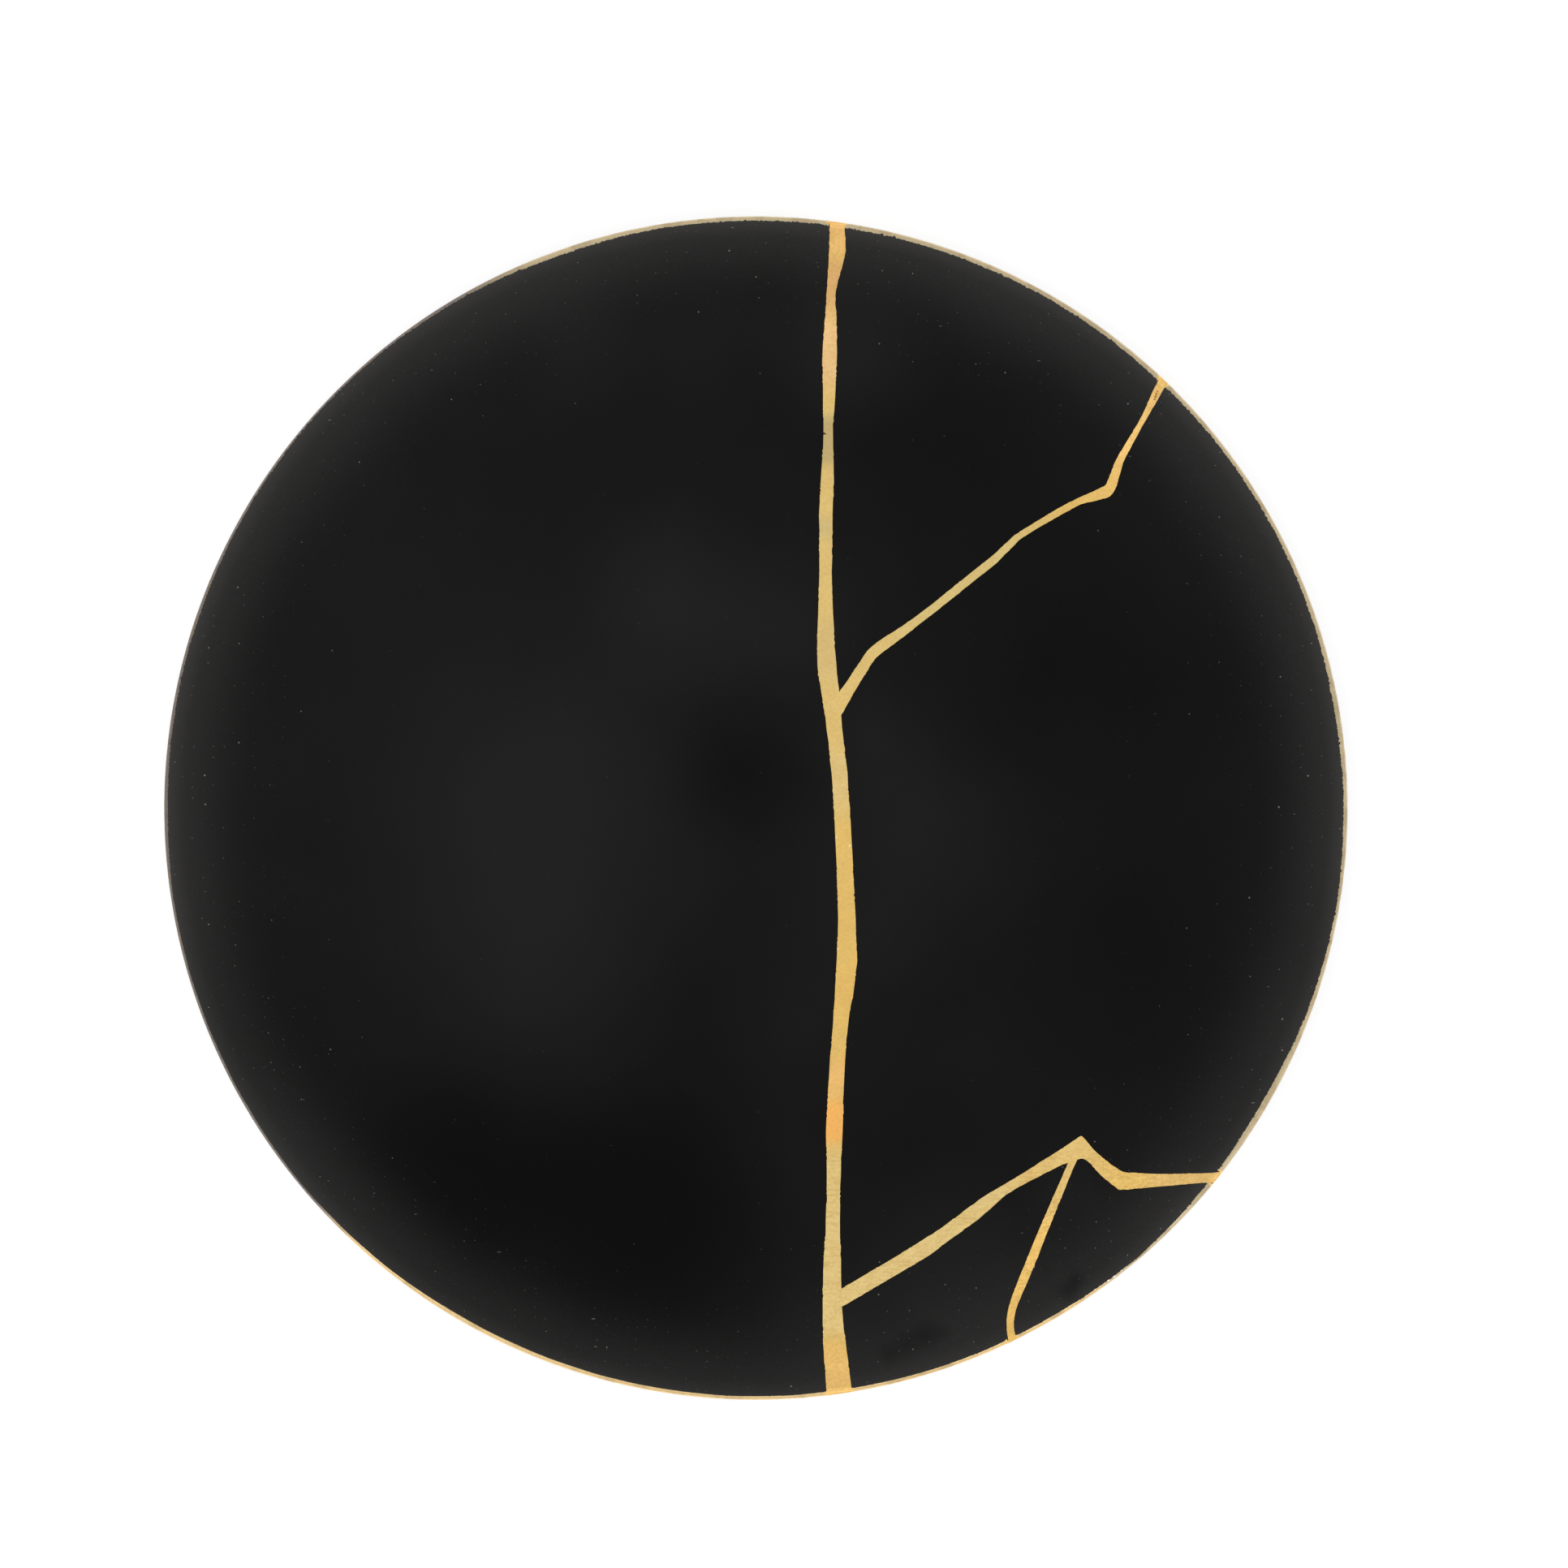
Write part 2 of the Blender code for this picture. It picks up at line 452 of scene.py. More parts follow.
    def spot(self, centre: Spot, radius: float, fade: float) -> bpy.types.NodeSocket:
        """Mark a round place in plan.

        Args:
            centre: Its middle, in millimetres.
            radius: Its radius, in millimetres.
            fade: How far its edge fades, in millimetres.

        Returns:
            A socket that is 1 in the place and 0 away from it.
        """
        return self.share(self.distance(centre), radius + fade, radius - fade)

    def blend(self, amount: object, first: object, second: object) -> bpy.types.NodeSocket:
        """Mix two colours.

        Args:
            amount: How much of the second, from 0 to 1.
            first: A tint or a colour socket.
            second: A tint or a colour socket.

        Returns:
            The socket that holds the colour.
        """
        node = self.add("ShaderNodeMix", data_type="RGBA")
        self.feed(node.inputs[0], amount)
        self.feed(node.inputs[self.FIRST_COLOUR], first)
        self.feed(node.inputs[self.SECOND_COLOUR], second)
        return node.outputs[self.MIXED_COLOUR]

    def coat(self, tone: object, roughness: object, metallic: float = 0.0) -> None:
        """Give the surface its colour and how rough and how metallic it is.

        Args:
            tone: A tint or a colour socket.
            roughness: A number or a socket, from 0 to 1.
            metallic: 1 for a metal and 0 for anything else.
        """
        self.feed(self.shader.inputs["Base Color"], tone)
        self.feed(self.shader.inputs["Roughness"], roughness)
        self.feed(self.shader.inputs["Metallic"], metallic)

    def relief(self, height: bpy.types.NodeSocket, depth: float) -> None:
        """Raise and lower the surface's shading.

        Args:
            height: A socket that goes from 0 to 1.
            depth: What a height of 1 stands for, in metres.
        """
        bump = self.add("ShaderNodeBump")
        bump.inputs["Distance"].default_value = depth
        self.tree.links.new(height, bump.inputs["Height"])
        self.tree.links.new(bump.outputs[0], self.shader.inputs["Normal"])


@dataclass(frozen=True)
class PaintedLightPatch:
    """A soft-edged place painted lighter or darker than round it: painted sheen and painted shade
    on the glaze.
    """

    centre: Spot
    radius: float
    fade: float
    lift: float


@dataclass(frozen=True)
class Dust:
    """Flecks of pale dust, thicker towards the lip and in some kinds drawn out to fibres."""

    spacing: float
    radius: float
    shown: float
    strength: float
    thick_from: float
    thick_at: float
    length: float = 1.0
    turn: float = 0.0
    softness: float = 0.4
    least_size: float = 0.7
    chance_fade: float = 0.01

    def flecks(self, bench: NodeBench, floor: float) -> bpy.types.NodeSocket:
        """Mark the flecks.

        Args:
            bench: The material that the nodes go into.
            floor: How thick they lie on the plate's middle.

        Returns:
            A socket that is 0 where there is no fleck.
        """
        drawn = bench.add("ShaderNodeMapping")
        drawn.inputs["Rotation"].default_value = (0.0, 0.0, self.turn)
        drawn.inputs["Scale"].default_value = (1 / self.length, 1.0, 1.0)
        bench.feed(drawn.inputs["Vector"], bench.place)
        cells = bench.add("ShaderNodeTexVoronoi", feature="F1", voronoi_dimensions="2D")
        bench.feed(cells.inputs["Scale"], 1 / self.spacing)
        bench.feed(cells.inputs["Vector"], drawn.outputs[0])
        chance = bench.add("ShaderNodeSeparateColor")
        bench.feed(chance.inputs[0], cells.outputs["Color"])
        smaller = bench.maths("ADD", chance.outputs[1], self.least_size)
        near = bench.product(cells.outputs["Distance"], self.spacing, smaller)
        outside = self.radius * (1 + self.softness)
        inside = self.radius * (1 - self.softness)
        shown = bench.share(
            chance.outputs[0], self.shown + self.chance_fade, self.shown - self.chance_fade
        )
        outer = bench.share(bench.distance(), self.thick_from, self.thick_at)
        thick = bench.maths("MAXIMUM", outer, floor)
        return bench.product(bench.share(near, outside, inside), shown, thick, self.strength)


@dataclass(frozen=True)
class BlackGlaze:
    """Satin black glaze with soft pools of painted sheen and shade, a fine orange peel, a lip made
    paler by painted sheen and a bare foot.
    """

    dark: Tint = (0.0008, 0.0008, 0.0008)
    light: Tint = (0.0125, 0.0122, 0.0120)
    # Painted sheen: the paler black that the glaze is lightened to towards the lip.
    lip: Tint = (0.0365, 0.0354, 0.0344)
    dust: Tint = (0.22, 0.21, 0.195)
    clay: Tint = (0.060, 0.050, 0.043)
    roughness: float = 0.42
    rough_change: float = -0.16
    shine: float = 0.06
    depth: float = 0.36
    # Painted sheen where a pool's lift is above 0, painted shade where it is below 0.
    sheen_and_shade_pools: tuple[PaintedLightPatch, ...] = (
        PaintedLightPatch((-60.0, 30.0), 58.0, 50.0, 0.13),
        PaintedLightPatch((-50.0, -6.0), 26.0, 26.0, 0.34),
        PaintedLightPatch((-55.0, -42.0), 18.0, 22.0, 0.22),
        PaintedLightPatch((-18.0, 46.0), 14.0, 15.0, 0.28),
        PaintedLightPatch((-4.0, 8.0), 10.0, 13.0, -0.18),
        PaintedLightPatch((36.0, -2.0), 18.0, 20.0, 0.24),
        PaintedLightPatch((27.0, 17.0), 8.0, 13.0, 0.17),
        PaintedLightPatch((25.0, -32.0), 9.0, 15.0, 0.16),
        PaintedLightPatch((7.0, 42.0), 11.0, 13.0, 0.20),
        PaintedLightPatch((70.0, 24.0), 26.0, 24.0, -0.12),
        PaintedLightPatch((80.0, -34.0), 26.0, 20.0, -0.12),
        PaintedLightPatch((-64.0, -84.0), 18.0, 20.0, -0.34),
        PaintedLightPatch((-24.0, -92.0), 20.0, 20.0, -0.34),
        PaintedLightPatch((-14.0, 107.0), 13.0, 14.0, 0.16),
        PaintedLightPatch((-40.0, 106.0), 11.0, 12.0, 0.17),
        PaintedLightPatch((11.0, -50.0), 6.0, 16.0, 0.14),
        PaintedLightPatch((20.0, 105.0), 13.0, 13.0, 0.30),
        PaintedLightPatch((45.0, 82.0), 16.0, 18.0, -0.08),
        PaintedLightPatch((45.0, -112.0), 20.0, 16.0, 0.26),
        PaintedLightPatch((71.0, -87.0), 5.0, 9.0, 0.26),
        PaintedLightPatch((14.0, -118.0), 9.0, 9.0, 0.20),
    )
    # Darker places, lip and all: the broad ones are painted shade, and the small spots near the
    # front lip are darkened the same way.
    shades: tuple[PaintedLightPatch, ...] = (
        PaintedLightPatch((125.0, -34.0), 12.0, 15.0, -0.22),
        PaintedLightPatch((112.0, -62.0), 13.0, 14.0, -0.22),
        PaintedLightPatch((102.0, -77.0), 8.0, 9.0, -0.16),
        PaintedLightPatch((-120.0, -54.0), 20.0, 18.0, -0.24),
        PaintedLightPatch((-97.0, -88.0), 12.0, 14.0, -0.13),
        PaintedLightPatch((30.6, -124.4), 2.0, 2.0, -0.40),
        PaintedLightPatch((34.6, -122.3), 2.3, 2.3, -0.42),
        PaintedLightPatch((38.9, -120.3), 2.5, 2.5, -0.48),
        PaintedLightPatch((42.6, -119.5), 1.5, 1.7, -0.26),
        PaintedLightPatch((71.3, -110.3), 1.9, 1.9, -0.42),
        PaintedLightPatch((73.0, -107.9), 1.7, 1.7, -0.42),
    )
    cloud_size: float = 46.0
    cloud_share: float = 0.3
    # Painted sheen towards the lip and brim, weaker at the front.
    lip_sheen_from: float = 108.0
    lip_sheen_full: float = 137.0
    lip_sheen_share: float = 0.66
    brim_sheen_from: float = 130.0
    brim_sheen_full: float = 134.5
    brim_sheen_share: float = 0.34
    front_from: float = -84.0
    front_full: float = -112.0
    front_sheen_loss: float = 0.32
    speckle_size: float = 0.8
    speckle: float = 0.26
    peel_size: float = 1.3
    peel_depth: float = 0.010 * MM
    dusts: tuple[Dust, ...] = (
        Dust(7.0, 0.13, 0.20, 1.0, 84.0, 132.0),
        Dust(2.3, 0.10, 0.26, 0.35, 98.0, 134.0),
        Dust(5.0, 0.08, 0.14, 0.60, 100.0, 132.0, length=4.0, turn=0.9),
    )
    dust_floor: float = 0.06
    foot_line: float = 0.35
    foot_fade: float = 0.10
    foot_roughness: float = 0.4

    def material(self) -> bpy.types.Material:
        """Build the glaze's material.

        Returns:
            The material.
        """
        bench = NodeBench("satin_black_glaze")
        clouds = bench.centred(bench.grain(self.cloud_size))
        # Random clouds, with the pools' painted sheen and shade laid over them.
        glaze = bench.blend(self.lightness(bench, clouds), self.dark, self.light)
        # Painted sheen: the black is lightened towards the lip.
        tone = bench.blend(self.painted_lip_sheen(bench), glaze, self.lip)
        # Painted shade: the shades darken the glaze towards the darkest black.
        for place in self.shades:
            there = bench.spot(place.centre, place.radius, place.fade)
            tone = bench.blend(bench.product(there, -place.lift), tone, self.dark)
        for dust in self.dusts:
            tone = bench.blend(dust.flecks(bench, self.dust_floor), tone, self.dust)
        foot = bench.share(
            bench.z, self.foot_line + self.foot_fade, self.foot_line - self.foot_fade
        )
        uneven = bench.maths("MULTIPLY_ADD", clouds, self.rough_change, self.roughness)
        rough = bench.maths("ADD", uneven, bench.product(foot, self.foot_roughness))
        bench.coat(bench.blend(foot, tone, self.clay), rough)
        bench.feed(bench.shader.inputs["Specular IOR Level"], self.shine)
        bench.relief(bench.grain(self.peel_size, detail=2.0), self.peel_depth)
        return bench.material

    def painted_lip_sheen(self, bench: NodeBench) -> bpy.types.NodeSocket:
        """Work out how much painted sheen lightens the glaze towards the lip, less so at the
        front.

        Args:
            bench: The material that the nodes go into.

        Returns:
            A socket that is 0 in the middle and nears 1 beside the lip.
        """
        edge = bench.share(bench.distance(), self.lip_sheen_from, self.lip_sheen_full)
        brim = bench.share(bench.distance(), self.brim_sheen_from, self.brim_sheen_full)
        front = bench.share(bench.y, self.front_from, self.front_full)
        speckle = bench.centred(bench.grain(self.speckle_size))
        broad = bench.product(edge, edge, self.lip_sheen_share)
        pale = bench.maths("ADD", broad, bench.product(brim, self.brim_sheen_share))
        kept = bench.maths("SUBTRACT", 1.0, bench.product(front, self.front_sheen_loss))
        specks = bench.product(edge, speckle, self.speckle)
        return bench.maths("ADD", bench.product(pale, kept), specks)

    def lightness(self, bench: NodeBench, clouds: bpy.types.NodeSocket) -> bpy.types.NodeSocket:
        """Work out how light the glaze is, from its clouds and its pools of painted sheen and
        shade.

        Args:
            bench: The material that the nodes go into.
            clouds: Broad noise about 0.

        Returns:
            A socket that goes from 0, deep black, to 1.
        """
        level = bench.maths("ADD", bench.product(clouds, self.cloud_share), self.depth)
        for painted_pool in self.sheen_and_shade_pools:
            there = bench.spot(painted_pool.centre, painted_pool.radius, painted_pool.fade)
            level = bench.maths("ADD", level, bench.product(there, painted_pool.lift))
        return bench.share(level, 0.0, 1.0)


@dataclass(frozen=True)
class GoldPatch:
    """A soft-edged place on the gold whose tint differs; patches, small marks and painted
    highlights are all made of these.
    """

    centre: Spot
    radius: float
    fade: float
    tint: Tint
    strength: float = 1.0

    def laid_on(self, bench: NodeBench, tone: object) -> bpy.types.NodeSocket:
        """Colour the place.

        Args:
            bench: The material that the nodes go into.
            tone: The colour round it.

        Returns:
            The socket that holds the colour.
        """
        there = bench.spot(self.centre, self.radius, self.fade)
        return bench.blend(bench.product(there, self.strength), tone, self.tint)


STAIN: Tint = (0.27, 0.085, 0.035)
NICK: Tint = (0.02, 0.015, 0.01)
# Painted highlights: near-white tints that stand in for glints on the seam gold and the lip.
SEAM_PAINTED_HIGHLIGHT: Tint = (0.95, 0.88, 0.70)
LIP_PAINTED_HIGHLIGHT: Tint = (0.95, 0.92, 0.86)


@dataclass(frozen=True)
class SeamGold:
    """Gold laid by hand in the cracks: soft, mottled, in places hatched or brushed, with a few
    painted highlights.
    """

    tint: Tint = (0.805, 0.535, 0.158)
    pale: Tint = (0.78, 0.558, 0.188)
    deep: Tint = (0.60, 0.410, 0.135)
    patches: tuple[GoldPatch, ...] = (
        GoldPatch((18.5, 136.0), 9.0, 3.0, (0.92, 0.590, 0.220)),
        GoldPatch((17.5, 119.0), 6.0, 3.0, (0.71, 0.435, 0.180)),
        GoldPatch((17.0, 104.0), 8.5, 4.0, (0.85, 0.580, 0.280)),
        GoldPatch((16.0, 46.0), 49.0, 4.0, (0.77, 0.572, 0.220)),
        GoldPatch((16.5, 84.0), 5.6, 1.8, (0.55, 0.445, 0.210)),
        GoldPatch((16.0, 64.0), 2.4, 1.8, (0.67, 0.530, 0.240)),
        GoldPatch((16.0, 36.0), 7.0, 4.0, (0.72, 0.545, 0.235)),
        GoldPatch((19.0, 7.0), 5.5, 3.0, (0.76, 0.585, 0.255)),
        GoldPatch((18.3, -62.0), 4.5, 3.0, (0.85, 0.540, 0.188)),
        GoldPatch((18.0, -71.8), 4.8, 1.6, (0.92, 0.500, 0.144)),
        GoldPatch((17.6, -99.5), 21.5, 3.0, (0.78, 0.603, 0.260)),
        GoldPatch((19.0, -138.0), 14.5, 3.5, (0.93, 0.620, 0.220)),
        GoldPatch((48.0, 51.0), 22.0, 14.0, (0.72, 0.570, 0.240)),
        GoldPatch((88.0, 90.0), 15.0, 8.0, (0.90, 0.605, 0.220)),
        GoldPatch((44.0, -97.0), 22.0, 8.0, (0.78, 0.608, 0.275)),
        GoldPatch((71.0, -80.0), 9.0, 6.0, (0.80, 0.585, 0.230)),
        GoldPatch((100.0, -84.5), 10.0, 6.0, (0.84, 0.580, 0.220)),
        GoldPatch((61.0, -107.0), 14.0, 6.0, (0.91, 0.610, 0.190)),
    )
    # Stains, a dark nick and three painted highlights.
    marks: tuple[GoldPatch, ...] = (
        GoldPatch((91.0, 93.3), 0.20, 0.20, STAIN, 0.85),
        GoldPatch((91.2, 93.9), 0.26, 0.26, STAIN, 0.85),
        GoldPatch((91.4, 94.5), 0.22, 0.22, STAIN, 0.85),
        GoldPatch((91.6, 95.1), 0.16, 0.16, STAIN, 0.85),
        GoldPatch((15.6, 85.6), 0.24, 0.12, NICK),
        GoldPatch((15.95, 85.45), 0.12, 0.06, NICK),
        GoldPatch((21.4, -8.6), 0.18, 0.09, SEAM_PAINTED_HIGHLIGHT),
        GoldPatch((18.4, -6.6), 0.14, 0.07, SEAM_PAINTED_HIGHLIGHT),
        GoldPatch((18.7, -32.2), 0.16, 0.08, SEAM_PAINTED_HIGHLIGHT),
    )
    roughness: float = 0.60
    rough_change: float = 0.14
    fine_size: float = 0.7
    fine_range: tuple[float, float] = (0.30, 0.70)
    fine_share: float = 0.18
    worked_size: float = 3.4
    worked_range: tuple[float, float] = (0.36, 0.64)
    worked_share: float = 0.18
    broad_size: float = 14.0
    broad_range: tuple[float, float] = (0.35, 0.65)
    broad_share: float = 0.6
    line_range: tuple[float, float] = (0.52, 0.62)
    line_share: float = 0.32
    hatched: tuple[float, float] = (-97.0, -78.0)
    hatch_size: float = 0.5
    hatch_length: float = 7.0
    hatch_turn: float = math.radians(-50)
    brushed: tuple[float, float] = (-113.0, -100.0)
    brush_size: float = 0.45
    brush_length: float = 9.0
    stretch_fade: float = 3.0
    grain_depth: float = 0.006 * MM

    def material(self) -> bpy.types.Material:
        """Build the gold's material.

        Returns:
            The material.
        """
        bench = NodeBench("hand_laid_gold")
        fine = bench.share(bench.grain(self.fine_size), *self.fine_range)
        worked = bench.share(bench.grain(self.worked_size), *self.worked_range)
        broad = bench.share(bench.grain(self.broad_size, detail=2.0), *self.broad_range)
        lines = self.tool_lines(bench)
        tone = bench.blend(bench.product(broad, self.broad_share), self.tint, self.pale)
        for patch in self.patches:
            tone = patch.laid_on(bench, tone)
        marked = bench.maths(
            "ADD", bench.product(fine, self.fine_share), bench.product(lines, self.line_share)
        )
        mottle = bench.maths("ADD", marked, bench.product(worked, self.worked_share))
        tone = bench.blend(mottle, tone, self.deep)
        for mark in self.marks:
            tone = mark.laid_on(bench, tone)
        rough = bench.maths("MULTIPLY_ADD", bench.centred(fine), self.rough_change, self.roughness)
        bench.coat(tone, rough, metallic=1.0)
        height = bench.product(bench.maths("ADD", fine, worked), 0.5)
        bench.relief(bench.maths("ADD", height, lines), self.grain_depth)
        return bench.material

    def tool_lines(self, bench: NodeBench) -> bpy.types.NodeSocket:
        """Mark the fine lines that the laying tool left in two stretches.

        Args:
            bench: The material that the nodes go into.

        Returns:
            A socket that is 1 on a line.
        """
        slanted = bench.grain(
            self.hatch_size, detail=1.0, length=self.hatch_length, turn=self.hatch_turn
        )
        level = bench.grain(self.brush_size, detail=1.0, length=self.brush_length)
        hatched = bench.band(bench.y, *self.hatched, self.stretch_fade)
        brushed = bench.band(bench.y, *self.brushed, self.stretch_fade)
        return bench.maths(
            "ADD",
            bench.product(bench.share(slanted, *self.line_range), hatched),
            bench.product(bench.share(level, *self.line_range), brushed),
        )


@dataclass(frozen=True)
class LipGold:
    """Burnished gold on the lip: mostly khaki, warm at the front and grey at the left, with a
    painted dark reflection line and painted highlights.
    """

    khaki: Tint = (0.54, 0.450, 0.280)
    warm: Tint = (0.74, 0.540, 0.255)
    left_grey: Tint = (0.155, 0.130, 0.121)
    seam: Tint = (0.82, 0.545, 0.190)
    deep: Tint = (0.30, 0.240, 0.150)
    lean: float = 0.08
    warm_range: tuple[float, float] = (-98.0, -109.0)
    grey_across: tuple[float, float] = (-46.0, -70.0)
    grey_along: tuple[float, float] = (-106.0, -97.0)
    # Painted reflection: a thin dark line round the lip where its half round turns down.
    line: Tint = (0.42, 0.260, 0.150)
    line_radii: tuple[float, float] = (134.54, 134.66)
    line_fade: float = 0.06
    line_share: float = 0.75
    crossings: tuple[Station, ...] = (
        (18.5, 133.7, 3.2),
        (93.2, 97.7, 2.1),
        (105.2, -84.6, 2.9),
        (58.6, -121.6, 1.9),
        (19.1, -133.6, 5.4),
    )
    crossing_spill: float = 0.6
    crossing_fade: float = 0.4
    # Painted highlights: small bright glints on the lip at the front right.
    painted_highlights: tuple[GoldPatch, ...] = (
        GoldPatch((81.6, -106.6), 0.40, 0.20, LIP_PAINTED_HIGHLIGHT),
        GoldPatch((80.4, -107.7), 0.22, 0.11, LIP_PAINTED_HIGHLIGHT),
        GoldPatch((83.3, -105.3), 0.25, 0.125, LIP_PAINTED_HIGHLIGHT),
    )
    roughness: float = 0.38
    rough_change: float = 0.20
    rubbed_size: float = 4.5
    rubbed_range: tuple[float, float] = (0.46, 0.66)
    rubbed_share: float = 0.26
    fine_size: float = 0.8
    fine_range: tuple[float, float] = (0.30, 0.70)
    fine_share: float = 0.16
    grain_depth: float = 0.006 * MM

    def material(self) -> bpy.types.Material:
        """Build the lip's material.

        Returns:
            The material.
        """
        bench = NodeBench("burnished_lip_gold")
        leaning = bench.maths("ADD", bench.y, bench.product(bench.x, self.lean))
        left_grey = bench.product(
            bench.share(bench.x, *self.grey_across), bench.share(leaning, *self.grey_along)
        )
        rubbed = bench.share(bench.grain(self.rubbed_size), *self.rubbed_range)
        fine = bench.share(bench.grain(self.fine_size, detail=2.0), *self.fine_range)
        mottle = bench.maths(
            "ADD", bench.product(rubbed, self.rubbed_share), bench.product(fine, self.fine_share)
        )
        # Painted reflection: the thin dark line, left out where the lip is grey.
        line = bench.band(bench.distance(), *self.line_radii, self.line_fade)
        dark_reflection_line = bench.product(line, bench.maths("SUBTRACT", 1.0, left_grey), self.line_share)
        tone = bench.blend(bench.share(leaning, *self.warm_range), self.khaki, self.warm)
        tone = bench.blend(left_grey, tone, self.left_grey)
        tone = bench.blend(mottle, tone, self.deep)
        tone = bench.blend(dark_reflection_line, tone, self.line)
        crossed = 0.0
        for x, y, width in self.crossings:
            there = bench.spot((x, y), width / 2 + self.crossing_spill, self.crossing_fade)
            tone = bench.blend(there, tone, self.seam)
            crossed = bench.maths("ADD", there, crossed)
        # Painted highlights on the lip.
        for highlight_spot in self.painted_highlights:
            tone = highlight_spot.laid_on(bench, tone)
        dull = bench.maths("MAXIMUM", rubbed, crossed)
        rough = bench.maths("MULTIPLY_ADD", dull, self.rough_change, self.roughness)
        bench.coat(tone, rough, metallic=1.0)
        bench.relief(fine, self.grain_depth)
        return bench.material


# The plate's form


@dataclass(frozen=True)
class PlateForm:
    """Half section of the fired body and the solid that it makes when it is turned."""

    radius: float
    height: float
    lip_radius: float = 0.9 * MM
    coat: float = 0.03 * MM
    floor_radius: float = 90.0 * MM
    floor_top: float = 8.5 * MM
    floor_middle: float = 20.0 * MM
    floor_rings: int = 5
    inner_angle: float = math.radians(40)
    outer_angle: float = math.radians(46)
    foot_outer: float = 80.0 * MM
    foot_inner: float = 76.0 * MM
    foot_edge: float = 0.5 * MM
    foot_height: float = 3.0 * MM
    foot_draft: float = 1.5 * MM
    recess_height: float = 2.8 * MM
    wall_steps: int = 24
    lip_steps: int = 12
    edge_steps: int = 4
    steps_around: int = 256

    def lip_point(self, angle: float, sunk: float = 0.0) -> Spot:
        """Find a point on the lip's half round.

        Args:
            angle: Angle above the horizontal, from the outside.
            sunk: How far the point lies under the gilded surface.

        Returns:
            Its distance from the axis and its height.
        """
        reach = self.lip_radius - sunk
        return (
            self.radius - self.lip_radius + reach * math.cos(angle),
            self.height - self.lip_radius + reach * math.sin(angle),
        )

    def wall(self, start: Spot, end: Spot, end_angle: float) -> list[Spot]:
        """Draw a wall that starts level and climbs at an angle where it ends.

        The height is a power of the distance, and the angle at the end settles the power.

        Args:
            start: Distance from the axis and height where it starts.
            end: Distance from the axis and height where it ends.
            end_angle: How steeply it climbs at its end.

        Returns:
            Points from the start to the end.
        """
        run = end[0] - start[0]
        rise = end[1] - start[1]
        power = math.tan(end_angle) * run / rise
        shares = [step / self.wall_steps for step in range(self.wall_steps + 1)]
        return [(start[0] + run * share, start[1] + rise * share**power) for share in shares]

    def foot(self) -> list[Spot]:
        """Draw the foot ring from its outer side to its inner side, with rounded edges.

        Returns:
            Points round the foot.
        """
        points = []
        turn = math.pi / 2 / self.edge_steps
        for step in range(self.edge_steps + 1):
            away = self.foot_edge * (1 - math.cos(step * turn))
            up = self.foot_edge * (1 - math.sin(step * turn))
            points.append((self.foot_outer - away, up))
        for r, z in reversed(points[:]):
            points.append((self.foot_outer + self.foot_inner - r, z))
        return points

    def section(self) -> list[Spot]:
        """Draw the half section, from the middle of the floor round the lip to the recess.

        Returns:
            Points with a distance from the axis and a height.
        """
        first = math.pi / 2 + self.inner_angle
        last = self.outer_angle - math.pi / 2
        turn = (last - first) / self.lip_steps
        lip = [
            self.lip_point(first + turn * step, self.coat) for step in range(self.lip_steps + 1)
        ]
        ring_gap = (self.floor_radius - self.floor_middle) / self.floor_rings
        floor = [
            (self.floor_middle + ring_gap * ring, self.floor_top)
            for ring in range(self.floor_rings)
        ]
        inner = self.wall((self.floor_radius, self.floor_top), lip[0], self.inner_angle)
        shoulder = (self.foot_outer + self.foot_draft, self.foot_height)
        outer = self.wall(shoulder, lip[-1], self.outer_angle)
        recess = [(self.foot_inner - self.foot_draft, self.recess_height)]
        return floor + inner + lip[1:] + outer[-2::-1] + self.foot() + recess

    def solid(self, name: str) -> bpy.types.Object:
        """Turn the half section round the axis.

        Args:
            name: The new object's name.

        Returns:
            The whole body, before it broke.
        """
        bm = bmesh.new()
        verts = [bm.verts.new((r, 0.0, z)) for r, z in self.section()]
        turn_round(bm, verts, self.steps_around)
        open_edges = [edge for edge in bm.edges if edge.is_boundary]
        bmesh.ops.holes_fill(bm, edges=open_edges, sides=0)
        return add_object(name, mesh_from(bm, name))


